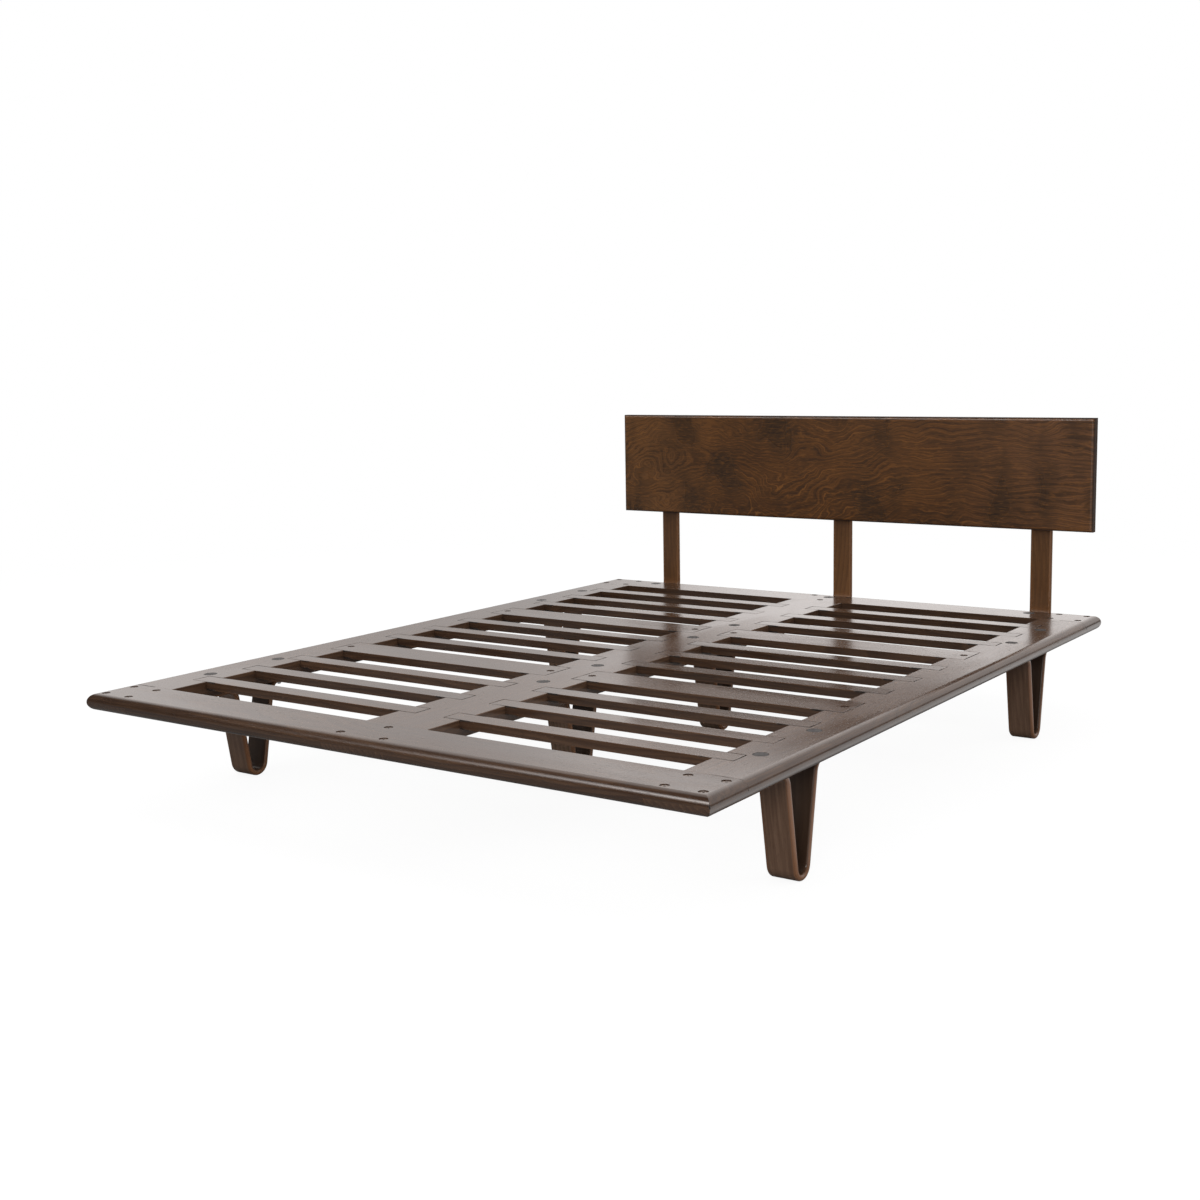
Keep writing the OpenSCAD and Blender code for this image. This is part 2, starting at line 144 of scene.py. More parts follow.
# %% Floor finish
shade_r, plain_r = 2.5, 5.0
floor_glow, floor_share = 0.91, 0.14
white = bpy.data.materials.new("white floor")
white.use_nodes = True
tree = white.node_tree
tree.nodes.clear()
place = put(tree, "TexCoord").outputs["Object"]
reach = put(tree, "VectorMath", {0: place}, operation="LENGTH").outputs["Value"]
near = fade(tree, reach, shade_r, plain_r, 1.0, 0.0)
glow = put(tree, "Emission", {"Color": (1, 1, 1, 1), "Strength": fade(
    tree, reach, shade_r, plain_r, floor_glow, 1.0)})
shaded = put(tree, "BsdfDiffuse", {"Color": blend(
    tree, near, (0, 0, 0, 1), (floor_share, floor_share, floor_share, 1))})
seen = put(tree, "AddShader")
tree.links.new(glow.outputs[0], seen.inputs[0])
tree.links.new(shaded.outputs[0], seen.inputs[1])
ray = put(tree, "LightPath").outputs
real = put(tree, "BsdfDiffuse", {"Color": (0.28, 0.28, 0.28, 1)})
sideways = put(tree, "SeparateXYZ", {0: place}).outputs["X"]
strip = sum_of(tree, "MULTIPLY", fade(tree, sideways, 0.76, 0.96, 0.0, 0.9),
               fade(tree, sideways, 3.2, 2.0))
strip = sum_of(tree, "MULTIPLY", strip, ray["Is Glossy Ray"])
sheen = put(tree, "Emission", {"Color": (1, 1, 1, 1), "Strength": strip})
unseen = put(tree, "AddShader")
tree.links.new(real.outputs[0], unseen.inputs[0])
tree.links.new(sheen.outputs[0], unseen.inputs[1])
mixed = put(tree, "MixShader", {0: ray["Is Camera Ray"]})
tree.links.new(unseen.outputs[0], mixed.inputs[1])
tree.links.new(seen.outputs[0], mixed.inputs[2])
out = put(tree, "OutputMaterial")
tree.links.new(mixed.outputs[0], out.inputs["Surface"])
floor_mesh.materials.append(white)
print("floor finish:", len(tree.nodes), "nodes")

# %% [markdown]
# The camera sees a plain white background, and two soft lamps light the bed from the front, the
# nearer one on the right. Satin lacquer is a dull mirror, so it needs a studio to show. The
# world gives gloss a picture of one: a backdrop that is bright straight ahead, dimmer to the
# left, dark low down at the right and open above, and a bright panel at the front left, which
# draws the line on the foot rail's round edge. Matt surfaces see a plain soft sky instead,
# darker in front and lighter at the right. A bearing is 0 straight ahead along the bed and
# grows to the right, and a height is 0 at the horizon and 1 overhead.

# %% Helper for the picture of the studio
world = bpy.data.worlds.new("studio")
scene.world = world
world.use_nodes = True
tree = world.node_tree
tree.nodes.clear()
way = put(tree, "TexCoord").outputs["Generated"]
across, along, height = put(tree, "SeparateXYZ", {0: way}).outputs[:3]
bearing = sum_of(tree, "ARCTAN2", across, along)

def between(start, end, low=0.0, high=1.0):
    """Goes from low to high between two bearings in degrees, whichever of them is the larger."""
    if start < end:
        return fade(tree, bearing, radians(start), radians(end), low, high)
    return fade(tree, bearing, radians(end), radians(start), high, low)

print("studio picture:", len(tree.nodes), "nodes so far")

# %% Backdrop and front panel
backdrop_left, backdrop_right = -90, 75
slanted = sum_of(tree, "ADD", bearing, fade(tree, height, 0.12, 0.30, 0.0, radians(5)))
bright = fade(tree, slanted, radians(-37), radians(-26), 0.64, 1.44)
left_part = sum_of(tree, "MULTIPLY_ADD", fade(tree, height, 0.12, 0.38), 0.37,
                   between(-41, -54, 0, 0.41))
screen = sum_of(tree, "MULTIPLY_ADD", left_part, between(-27, -34), bright)
ends = sum_of(tree, "MULTIPLY", between(backdrop_right, 40), between(backdrop_left, -66))
ends = sum_of(tree, "MULTIPLY", ends, between(10, -15, 0.72, 1))
screen = sum_of(tree, "MULTIPLY", screen, ends)
screen = sum_of(tree, "MULTIPLY", screen, fade(tree, height, 0.78, 0.92, 1.0, 0.0))
low_right = sum_of(tree, "MULTIPLY", between(2, 12, 0.0, 0.85), fade(tree, height, 0.14, 0.05))
screen = sum_of(tree, "MULTIPLY", screen, sum_of(tree, "SUBTRACT", 1.0, low_right))
panel_rows = sum_of(tree, "MULTIPLY", fade(tree, height, 0.42, 0.52),
                    fade(tree, height, 0.74, 0.62))
panel_ends = sum_of(tree, "MULTIPLY", between(-131, -147), between(-176, -156))
front_panel = sum_of(tree, "MULTIPLY", panel_rows, panel_ends)
panel_light, room_light = 9.5, 0.06
gloss_light = sum_of(tree, "MULTIPLY_ADD", front_panel, panel_light, screen)
gloss_light = sum_of(tree, "ADD", gloss_light, room_light)
print("backdrop from", backdrop_left, "to", backdrop_right, "degrees")

# %% Soft sky, white background and softboxes
ray = put(tree, "LightPath").outputs
mirrored = sum_of(tree, "MAXIMUM", ray["Is Glossy Ray"], ray["Is Transmission Ray"])
above = fade(tree, height, -0.1, 0.9, 0.30, 1.0)
above = sum_of(tree, "MULTIPLY", above, fade(tree, along, -0.9, 0.2, 0.35, 1.0))
above = sum_of(tree, "MULTIPLY_ADD", fade(tree, across, 0.3, 1.0), 0.45, above)
light = put(tree, "Mix", {0: mirrored, 2: above, 3: gloss_light}, data_type="FLOAT").outputs[0]
light = put(tree, "Mix", {0: ray["Is Camera Ray"], 2: light, 3: 1.0}, data_type="FLOAT").outputs[0]
warm = blend(tree, mirrored, (1, 1, 1, 1), (1.03, 0.985, 0.965, 1))
background = put(tree, "Background", {"Color": warm, "Strength": light})
out = put(tree, "OutputWorld")
tree.links.new(background.outputs[0], out.inputs["Surface"])

def softbox(name, at, aim, size, radiance):
    lamp = bpy.data.lights.new(name, "AREA")
    lamp.shape, lamp.size, lamp.size_y = "RECTANGLE", size[0], size[1]
    lamp.energy = radiance * pi * size[0] * size[1]
    box = bpy.data.objects.new(name, lamp)
    box.location = at
    box.rotation_euler = (Vector(aim) - Vector(at)).to_track_quat("-Z", "Y").to_euler()
    scene.collection.objects.link(box)
    return box

key = softbox("key softbox", (-1.42, -3.78, 2.45), (0.6, -1.1, 0.268), (1.9, 1.9), 2.2)
fill = softbox("fill softbox", (1.8, -3.4, 1.4), (0.7, -0.8, 0.25), (1.0, 1.0), 10.0)
print("key softbox", round(key.data.energy, 1), "W, fill", round(fill.data.energy, 1), "W")

# %% [markdown]
# Each leg is one strap of laminated wood, 13.5 mm thick with half-round edges: a flange under the
# rail, a bend, an arm that leans in, a tight bend on the floor, and the same again up the other
# side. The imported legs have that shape, but no grain that follows it. So the strap is made
# again: a rectangle whose corners are bevelled into a half circle is the section, and it is
# pulled along the straight parts and spun through the bends. A curve with a bevel profile would
# also do, but it pinches the section in the tight bend.

# %% Strap sizes
strap_t, leg_w, post_w = 0.0135, 0.067, 0.063
rail_low, deck = 0.232, 0.270
flange_mid = rail_low - strap_t / 2
foot_y, head_y, panel_back = -1.103, 1.043, 1.084
lean = radians(10)
foot_r, top_r, post_r = 0.02525, 0.02575, 0.04475
foot_c = Vector((0, 0.032))
out_way, up_way = Vector((cos(lean), -sin(lean))), Vector((sin(lean), cos(lean)))
arm_start = foot_c + foot_r * out_way
top_y = flange_mid - top_r
top_x = arm_start.x + (top_r + (top_y - arm_start.y) * up_way.x) / up_way.y
arm_l = (Vector((top_x, top_y)) - arm_start) @ up_way
flange_end, post_top = 0.1365, 0.776
post_start, post_bend_y = head_y - 0.078, panel_back - 0.038
print("arm", round(arm_l, 4), "flange", round(flange_end - top_x, 4))

# %% Pull and spin the section
def section(bm, width, at):
    corners = [bm.verts.new((s * width / 2, at[0], at[1] + t * strap_t / 2))
               for s, t in ((-1, -1), (1, -1), (1, 1), (-1, 1))]
    bm.faces.new(corners)
    bmesh.ops.bevel(bm, geom=corners, affect="VERTICES", offset=strap_t / 2, segments=10,
                    profile=0.5, material=-1)
    bmesh.ops.remove_doubles(bm, verts=bm.verts, dist=1e-6)
    bmesh.ops.delete(bm, geom=bm.faces[:], context="FACES_ONLY")
    return bm.edges[:]

def pull(bm, rim, by):
    made = bmesh.ops.extrude_edge_only(bm, edges=rim)["geom"]
    fresh = {g for g in made if isinstance(g, bmesh.types.BMVert)}
    bmesh.ops.translate(bm, verts=list(fresh), vec=(0, by[0], by[1]))
    return [g for g in made if isinstance(g, bmesh.types.BMEdge) and set(g.verts) <= fresh]

def bend(bm, rim, centre, angle, steps):
    made = bmesh.ops.spin(bm, geom=rim, cent=(0, centre[0], centre[1]), axis=(1, 0, 0),
                          angle=angle, steps=steps)
    return [g for g in made["geom_last"] if isinstance(g, bmesh.types.BMEdge)]

def cap(bm, ends):
    for rim in ends:
        face = bmesh.ops.contextual_create(bm, geom=rim)["faces"]
        bmesh.ops.bevel(bm, geom=list(face[0].edges), affect="EDGES", offset=0.0008, segments=2,
                        profile=0.5, material=-1)
    bmesh.ops.recalc_face_normals(bm, faces=bm.faces)

def leg_strap():
    bm = bmesh.new()
    first = section(bm, leg_w, (-flange_end, flange_mid))
    rim = pull(bm, first, (flange_end - top_x, 0))
    rim = bend(bm, rim, (-top_x, top_y), -(pi / 2 - lean), 12)
    rim = pull(bm, rim, arm_l * Vector((up_way.x, -up_way.y)))
    rim = bend(bm, rim, foot_c, pi - 2 * lean, 24)
    rim = pull(bm, rim, arm_l * up_way)
    rim = bend(bm, rim, (top_x, top_y), -(pi / 2 - lean), 12)
    rim = pull(bm, rim, (flange_end - top_x, 0))
    cap(bm, (first, rim))
    return bm

def post_strap():
    bm = bmesh.new()
    first = section(bm, post_w, (post_start, flange_mid))
    rim = pull(bm, first, (post_bend_y - post_start, 0))
    rim = bend(bm, rim, (post_bend_y, deck), pi / 2, 16)
    rim = pull(bm, rim, (0, post_top - deck))
    cap(bm, (first, rim))
    return bm

for name, bm in (("leg", leg_strap()), ("post", post_strap())):
    ys, zs = [v.co.y for v in bm.verts], [v.co.z for v in bm.verts]
    print(name, len(bm.verts), "points, y", round(min(ys), 4), round(max(ys), 4),
          "z", round(min(zs), 4), round(max(zs), 4))
    bm.free()

# %% [markdown]
# Bolts pass through the straps, so each strap gets its bores. A boolean cut with a plain drill
# shape is the quickest way, and weighted normals then keep the flat faces flat up to the round
# edges. Both are applied at once, so that nothing later depends on the drill.
#
# Wood grain and the plies follow the strap round its bends. So every point also stores where it
# lies in the strap: across its width, along its middle line, and through its thickness.

# %% Where a point lies in its strap
def middle_line(kind):
    """Points down the middle of a strap, as (along the bed, up), close together."""
    def arc(c, r, a0, a1, n=60):
        return [(c[0] + r * cos(a), c[1] + r * sin(a)) for a in np.linspace(a0, a1, n)]
    def line(a, b, n=60):
        return [(a[0] + (b[0] - a[0]) * t, a[1] + (b[1] - a[1]) * t) for t in np.linspace(0, 1, n)]
    if kind == "post":
        pts = line((post_start, flange_mid), (post_bend_y, flange_mid))
        pts += arc((post_bend_y, deck), post_r, -pi / 2, 0)
        post_y = post_bend_y + post_r
        return pts + line((post_y, deck), (post_y, post_top), 200)
    half = arc(foot_c, foot_r, -pi / 2, -lean)
    half += line(arm_start, arm_start + arm_l * up_way, 150)
    half += arc((top_x, top_y), top_r, pi - lean, pi / 2)
    half += line((top_x, flange_mid), (flange_end, flange_mid))
    return [(-x, y) for x, y in reversed(half)] + half

def strap_places(mesh, kind, shift):
    line = np.array(middle_line(kind))
    step = np.diff(line, axis=0)
    run = np.concatenate([[0], np.cumsum(np.hypot(*step.T))])
    way = np.gradient(line, axis=0)
    way /= np.maximum(np.hypot(*way.T), 1e-9)[:, None]
    co = np.array([v.co for v in mesh.vertices])
    flat = co[:, 1:] - np.array([shift[1], 0])
    gap = flat[:, None, :] - line[None, :, :]
    near = (gap ** 2).sum(2).argmin(1)
    d = flat - line[near]
    along = run[near] + (d * way[near]).sum(1)
    depth = way[near][:, 0] * d[:, 1] - way[near][:, 1] * d[:, 0]
    across = co[:, 0] - shift[0]
    return np.stack([across, along, depth], 1)

for kind in ("leg", "post"):
    steps = np.diff(np.array(middle_line(kind)), axis=0)
    print(kind, "strap", round(float(np.hypot(*steps.T).sum()), 3), "m along its middle")

# %% Bores and normals
drill_l = 0.04

def finish_strap(name, bm, shift, bores, kind, width):
    bmesh.ops.translate(bm, verts=bm.verts, vec=(shift[0], shift[1], 0))
    mesh = bpy.data.meshes.new(name)
    bm.to_mesh(mesh)
    bm.free()
    piece = bpy.data.objects.new(name, mesh)
    scene.collection.objects.link(piece)
    drill = bmesh.new()
    for at, way, d in bores:
        turn = Matrix.Translation(at) @ Vector(way).to_track_quat("Z", "Y").to_matrix().to_4x4()
        bmesh.ops.create_cone(drill, cap_ends=True, segments=24, radius1=d / 2, radius2=d / 2,
                              depth=drill_l, matrix=turn)
    drill_mesh = bpy.data.meshes.new("drill")
    drill.to_mesh(drill_mesh)
    drill.free()
    tool = bpy.data.objects.new("drill", drill_mesh)
    scene.collection.objects.link(tool)
    cut = piece.modifiers.new("bores", "BOOLEAN")
    cut.operation, cut.solver, cut.object = "DIFFERENCE", "EXACT", tool
    bpy.context.view_layer.update()
    done = bpy.data.meshes.new_from_object(
        piece.evaluated_get(bpy.context.evaluated_depsgraph_get()))
    piece.modifiers.clear()
    done.shade_smooth()
    done.set_sharp_from_angle(angle=radians(35))
    piece.data = done
    flat = piece.modifiers.new("flat faces", "WEIGHTED_NORMAL")
    flat.keep_sharp, flat.weight = True, 80
    bpy.context.view_layer.update()
    smooth = bpy.data.meshes.new_from_object(
        piece.evaluated_get(bpy.context.evaluated_depsgraph_get()))
    piece.modifiers.clear()
    piece.data = smooth
    smooth.name = name
    bpy.data.objects.remove(tool)
    places = strap_places(smooth, kind, shift)
    held = smooth.attributes.new("strap_place", "FLOAT_VECTOR", "POINT")
    held.data.foreach_set("vector", places.astype(np.float32).ravel())
    edge = smooth.attributes.new("edge_distance", "FLOAT", "POINT")
    edge.data.foreach_set("value", (width / 2 - np.abs(places[:, 0])).astype(np.float32))
    return piece

print("drill", drill_l, "m long")

# %% Make the straps
straps = {}
leg_x, leg_inset = 0.749, 0.412
leg_places = {"leg_foot_left": (-leg_x, foot_y + leg_inset),
              "leg_foot_right": (leg_x, foot_y + leg_inset),
              "leg_head_left": (-leg_x, head_y - leg_inset),
              "leg_head_right": (leg_x, head_y - leg_inset)}
for node in ("leg_centre_foot", "leg_centre_head"):
    low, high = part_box(node)
    leg_places[node] = ((low.x + high.x) / 2, (low.y + high.y) / 2)
bolt_bore, panel_bore = 0.0086, 0.0066
leg_bolt_y, post_bolt_y = 0.1095, head_y - 0.051
panel_bolts_z = (0.551, 0.726)
up, back = (0, 0, 1), (0, 1, 0)
for node, (x, y) in leg_places.items():
    bores = [((x, y + s * leg_bolt_y, flange_mid), up, bolt_bore) for s in (-1, 1)]
    straps[node] = finish_strap("strap_" + node, leg_strap(), (x, y), bores, "leg", leg_w)
post_x = 0.629
for node, x in (("post_left", -post_x), ("post_centre", 0.0), ("post_right", post_x)):
    bores = [((x, post_bolt_y, flange_mid), up, bolt_bore)]
    bores += [((x, panel_back + strap_t / 2, z), back, panel_bore) for z in panel_bolts_z]
    straps[node] = finish_strap("strap_" + node, post_strap(), (x, 0), bores, "post", post_w)
for node, piece in straps.items():
    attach(piece, "root")
    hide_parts(node)
    low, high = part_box(node)
    co = np.array([v.co for v in piece.data.vertices])
    worst = max(np.abs(co.min(0) - low).max(), np.abs(co.max(0) - high).max())
    print(node, len(piece.data.polygons), "faces, box differs by", round(worst * 1000, 2), "mm")

# %% [markdown]
# All the wood on the bed shares three things: fibres, growth rings and a slow drift of tone.
# They come from one group of nodes, so the rails, slats and straps look cut from the same kind
# of tree. The group works in three dimensions with the grain along X. A board's ends then show
# end grain without any more work. A painted image would need to be unwrapped, and would stretch
# over the round edges.

# %% Wood grain group
tree, given, result = group(
    "wood grain",
    [("Place", "Vector", (0, 0, 0)), ("Board", "Float", 0.0), ("Ring Width", "Float", 0.012)],
    [("Fibre", "Float"), ("Rings", "Float"), ("Drift", "Float"), ("Pores", "Float"),
     ("Relief", "Float")])
own = put(tree, "CombineXYZ", {0: sum_of(tree, "MULTIPLY", given.outputs["Board"], 7.3),
                               1: sum_of(tree, "MULTIPLY", given.outputs["Board"], 3.1),
                               2: sum_of(tree, "MULTIPLY", given.outputs["Board"], 1.7)})
at = put(tree, "VectorMath", {0: given.outputs["Place"], 1: own.outputs[0]}).outputs[0]

def noise(tree, at, scale, size=1.0, detail=2.0, rough=0.5, twist=0.0):
    stretched = put(tree, "VectorMath", {0: at, 1: scale}, operation="MULTIPLY").outputs[0]
    return put(tree, "TexNoise", {"Vector": stretched, "Scale": size, "Detail": detail,
                                  "Roughness": rough, "Distortion": twist}).outputs[0]

fibre = noise(tree, at, (9, 230, 230), detail=4, rough=0.6)
hair = noise(tree, at, (30, 900, 900), detail=2)
drift = noise(tree, at, (1.6, 7, 7), detail=3)
sway = noise(tree, at, (1.1, 3.5, 3.5), detail=2)
parts = put(tree, "SeparateXYZ", {0: at}).outputs
side = sum_of(tree, "MULTIPLY_ADD", sway, 0.16, parts["Y"])
rise = sum_of(tree, "MULTIPLY_ADD", drift, 0.10, sum_of(tree, "ADD", parts["Z"], 0.05))
from_heart = sum_of(tree, "ADD", sum_of(tree, "MULTIPLY", side, side),
                    sum_of(tree, "MULTIPLY", rise, rise))
from_heart = sum_of(tree, "SQRT", from_heart)
count = sum_of(tree, "DIVIDE", from_heart, given.outputs["Ring Width"])
saw = sum_of(tree, "FRACT", count)
rings = sum_of(tree, "MULTIPLY", fade(tree, saw, 0.1, 0.92), fade(tree, saw, 1.0, 0.92))
pores = fade(tree, noise(tree, at, (70, 700, 700), detail=1), 0.62, 0.72)
for name, value in (("Fibre", fade(tree, fibre, 0.3, 0.7)), ("Rings", rings),
                    ("Drift", fade(tree, drift, 0.3, 0.7)), ("Pores", pores)):
    tree.links.new(value, result.inputs[name])
relief = sum_of(tree, "MULTIPLY_ADD", pores, -0.8, sum_of(tree, "MULTIPLY", hair, 0.35))
relief = sum_of(tree, "MULTIPLY_ADD", fibre, 0.5, relief)
tree.links.new(relief, result.inputs["Relief"])
wood_grain = tree
print("wood grain:", len(tree.nodes), "nodes")

# %% [markdown]
# On a stained board the arrises are rubbed: the lacquer is thin there and the wood shows a
# little lighter and warmer. The group below finds them. It takes a board's middle and half
# size, measures how far a point lies from each pair of faces, and marks it where two of those
# distances are small. Slow noise breaks the line up, as wear does. It also gives the distance
# from a board's end, so that the joints of the slats can have their dark seams.

# %% Rubbed edge group
tree, given, result = group(
    "rubbed edge",
    [("Place", "Vector", (0, 0, 0)), ("Middle", "Vector", (0, 0, 0)), ("Half", "Vector", (1, 1, 1)),
     ("Width", "Float", 0.0015)],
    [("Edge", "Float"), ("From End", "Float")])
off = put(tree, "VectorMath", {0: given.outputs["Place"], 1: given.outputs["Middle"]},
          operation="SUBTRACT").outputs[0]
off = put(tree, "VectorMath", {0: off}, operation="ABSOLUTE").outputs[0]
gap = put(tree, "VectorMath", {0: given.outputs["Half"], 1: off}, operation="SUBTRACT").outputs[0]
x, y, z = put(tree, "SeparateXYZ", {0: gap}).outputs[:3]
least = sum_of(tree, "MINIMUM", sum_of(tree, "MINIMUM", x, y), z)
most = sum_of(tree, "MAXIMUM", sum_of(tree, "MAXIMUM", x, y), z)
total = sum_of(tree, "ADD", sum_of(tree, "ADD", x, y), z)
second = sum_of(tree, "SUBTRACT", sum_of(tree, "SUBTRACT", total, least), most)
close = sum_of(tree, "SUBTRACT", 1.0, sum_of(tree, "DIVIDE", second, given.outputs["Width"]))
close = put(tree, "Clamp", {"Value": close}).outputs[0]
patchy = fade(tree, noise(tree, given.outputs["Place"], (18, 18, 18), detail=3), 0.35, 0.65)
edge = sum_of(tree, "MULTIPLY", close, sum_of(tree, "MULTIPLY_ADD", patchy, 0.7, 0.3))
tree.links.new(edge, result.inputs["Edge"])
tree.links.new(x, result.inputs["From End"])
rubbed_edge = tree
print("rubbed edge:", len(tree.nodes), "nodes")

# %% [markdown]
# The rails and slats are solid boards in a dark walnut stain under satin lacquer. Long rails
# run along the bed and the rest run across it, so there is one finish for each direction, the
# same but for a quarter turn. A board's own middle and half size are kept on its object, where
# the rubbed edge group finds them, and the object's random number gives it its own grain. The
# boards that run across are let into the long ones, so a thin dark seam is drawn round their
# ends.

# %% Helpers for a finish
def new_finish(name):
    finish = bpy.data.materials.new(name)
    finish.use_nodes = True
    tree = finish.node_tree
    tree.nodes.clear()
    shader = put(tree, "BsdfPrincipled")
    out = put(tree, "OutputMaterial")
    tree.links.new(shader.outputs[0], out.inputs["Surface"])
    return finish, tree, shader

def use(tree, shared, inputs):
    node = put(tree, "Group", node_tree=shared)
    for name, value in inputs.items():
        if isinstance(value, bpy.types.NodeSocket):
            tree.links.new(value, node.inputs[name])
        else:
            node.inputs[name].default_value = value
    return node.outputs

def kept(tree, name, out="Vector"):
    return put(tree, "Attribute", attribute_type="OBJECT", attribute_name=name).outputs[out]

def keep_size(name):
    low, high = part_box(name)
    nodes[name]["board_middle"] = [(a + b) / 2 for a, b in zip(low, high)]
    nodes[name]["board_half"] = [(b - a) / 2 for a, b in zip(low, high)]
    return [round(n, 3) for n in high - low]

def dress(piece, finish):
    piece.data.materials.clear()
    piece.data.materials.append(finish)

print("head rail", keep_size("head_rail"))

# %% Board finish
dark, mid, pale = colour(61, 43, 33), colour(81, 59, 45), colour(108, 80, 58)
pore_tone, rubbed_tone, seam_tone = colour(30, 22, 18), colour(116, 82, 56), colour(22, 16, 13)
rubbed_w, seam_w = 0.0022, 0.0045

def board_finish(name, turn):
    finish, tree, shader = new_finish(name)
    place = put(tree, "TexCoord").outputs["Object"]
    own = put(tree, "ObjectInfo").outputs["Random"]
    turned = put(tree, "Mapping", {"Vector": place, "Rotation": (0, 0, turn)}).outputs[0]
    grain = use(tree, wood_grain, {"Place": turned, "Board": own, "Ring Width": 0.011})
    edge = use(tree, rubbed_edge, {"Place": place, "Middle": kept(tree, "board_middle"),
                                   "Half": kept(tree, "board_half"), "Width": rubbed_w})["Edge"]
    tone = blend(tree, grain["Drift"], dark, mid)
    tone = blend(tree, sum_of(tree, "MULTIPLY", grain["Fibre"], 0.45), tone, pale)
    tone = blend(tree, sum_of(tree, "MULTIPLY", grain["Rings"], 0.55), tone, dark)
    tone = blend(tree, sum_of(tree, "MULTIPLY", grain["Pores"], 0.5), tone, pore_tone)
    tone = blend(tree, sum_of(tree, "MULTIPLY", edge, 0.6), tone, rubbed_tone)
    seam = 0.0
    if not turn:
        joint = use(tree, rubbed_edge, {"Place": place, "Middle": kept(tree, "board_middle"),
                                        "Half": kept(tree, "board_half"), "Width": seam_w})
        seam = sum_of(tree, "MULTIPLY", fade(tree, joint["Edge"], 0.1, 0.5, 0.0, 0.9),
                      fade(tree, joint["From End"], 0.08, 0.07))
        tone = blend(tree, seam, tone, seam_tone)
    own_tone = fade(tree, own, 0.0, 1.0, 0.88, 1.12)
    own_grey = put(tree, "CombineColor", {0: own_tone, 1: own_tone, 2: own_tone}).outputs[0]
    tone = blend(tree, 1.0, tone, own_grey, "MULTIPLY")
    tree.links.new(tone, shader.inputs["Base Color"])
    gloss = fade(tree, grain["Drift"], 0.0, 1.0, 0.17, 0.25)
    gloss = sum_of(tree, "MULTIPLY_ADD", grain["Pores"], 0.15, gloss)
    gloss = sum_of(tree, "MULTIPLY_ADD", seam, 0.7, gloss)
    tree.links.new(gloss, shader.inputs["Roughness"])
    bump = put(tree, "Bump", {"Strength": 0.035, "Distance": 0.0002, "Height": grain["Relief"]})
    tree.links.new(bump.outputs[0], shader.inputs["Normal"])
    return finish

across_finish = board_finish("walnut boards across", 0.0)
along_finish = board_finish("walnut boards along", radians(90))
long_rails = ("side_rail_left", "side_rail_right", "centre_rail")
boards = [name for name in nodes if name in long_rails
          or name.startswith(("foot_rail", "head_rail", "slat_left", "slat_right"))]
for name in boards:
    keep_size(name)
    dress(nodes[name], along_finish if name in long_rails else across_finish)
print("boards", len(boards))

# %% [markdown]
# The headboard's face is one sheet of figured veneer. At the left its lines close into eyes and
# ripples, and to the right they run long and level. Lines of equal height on a gentle
# landscape look just like that. So the finish makes a height from the level of a point and
# some slow noise, more of it at the left, and lays light and dark lines along its steps, in
# patches. Short flecks and soft dark clouds stand for the places where the grain dips. Toward
# the right the tone is painted lighter and greyer, a painted sheen. The panel's edges are darker
# and duller all round.

# %% Veneer's landscape
veneer, tree, shader = new_finish("figured veneer")
place = put(tree, "TexCoord").outputs["Object"]
x, y, z = put(tree, "SeparateXYZ", {0: place}).outputs[:3]
swirl = fade(tree, x, -0.25, 0.35, 1.0, 0.42)
slow = noise(tree, place, (3.4, 3.4, 5.2), detail=1, twist=0.4)
eyes = noise(tree, place, (9.0, 9.0, 13.0), detail=1, twist=0.3)
ripple = noise(tree, place, (46, 46, 64), detail=2)
hill = sum_of(tree, "MULTIPLY_ADD", eyes, 0.11, sum_of(tree, "MULTIPLY", slow, 0.30))
hill = sum_of(tree, "MULTIPLY_ADD", ripple, 0.013, hill)
curl = noise(tree, place, (120, 120, 170), detail=1)
hill = sum_of(tree, "MULTIPLY_ADD", curl, 0.004, hill)
hill = sum_of(tree, "MULTIPLY_ADD", hill, swirl, z)

def waves(height, period, lag=0.0):
    turn = sum_of(tree, "MULTIPLY_ADD", height, 2 * pi / period, lag)
    return sum_of(tree, "MULTIPLY_ADD", sum_of(tree, "SINE", turn), 0.5, 0.5)

print("veneer's landscape:", len(tree.nodes), "nodes")

# %% Veneer's lines, clouds and flecks
broad = sum_of(tree, "POWER", waves(hill, 0.019), 1.6)
thin = sum_of(tree, "POWER", waves(hill, 0.0064, 1.0), 2.0)
light_line = sum_of(tree, "POWER", waves(hill, 0.0105, 2.0), 4.0)
patchy = fade(tree, noise(tree, place, (13, 13, 24), detail=2), 0.36, 0.62, 0.15, 0.75)
flecks = fade(tree, noise(tree, place, (38, 38, 260), detail=2, twist=0.3), 0.52, 0.68)
grain = use(tree, wood_grain, {"Place": place, "Board": 0.37, "Ring Width": 0.02})
cloud = fade(tree, noise(tree, place, (8, 8, 5), detail=2, twist=0.3), 0.40, 0.72)
tone = blend(tree, grain["Drift"], colour(90, 54, 22), colour(122, 77, 34))
left_end = fade(tree, x, -0.35, -0.7, 0.0, 0.65)
tone = blend(tree, left_end, tone, colour(150, 104, 62))
# Painted sheen: toward the right end the veneer is blended to a lighter, greyer tone, where the
# lacquer's sheen shows.
tone = blend(tree, fade(tree, x, 0.25, 0.7, 0.0, 0.45), tone, colour(146, 102, 72))
light_line = sum_of(tree, "MULTIPLY", light_line, fade(tree, x, 0.1, 0.5, 1.0, 0.6))
tone = blend(tree, sum_of(tree, "MULTIPLY", light_line, patchy), tone, colour(166, 108, 50))
patchy_dark = fade(tree, noise(tree, place, (5, 5, 11), detail=2), 0.4, 0.6, 0.3, 0.85)
tone = blend(tree, sum_of(tree, "MULTIPLY", broad, patchy_dark), tone, colour(58, 37, 21))
tone = blend(tree, sum_of(tree, "MULTIPLY", thin, 0.5), tone, colour(50, 31, 17))
tone = blend(tree, sum_of(tree, "MULTIPLY", cloud, 0.85), tone, colour(50, 38, 28))
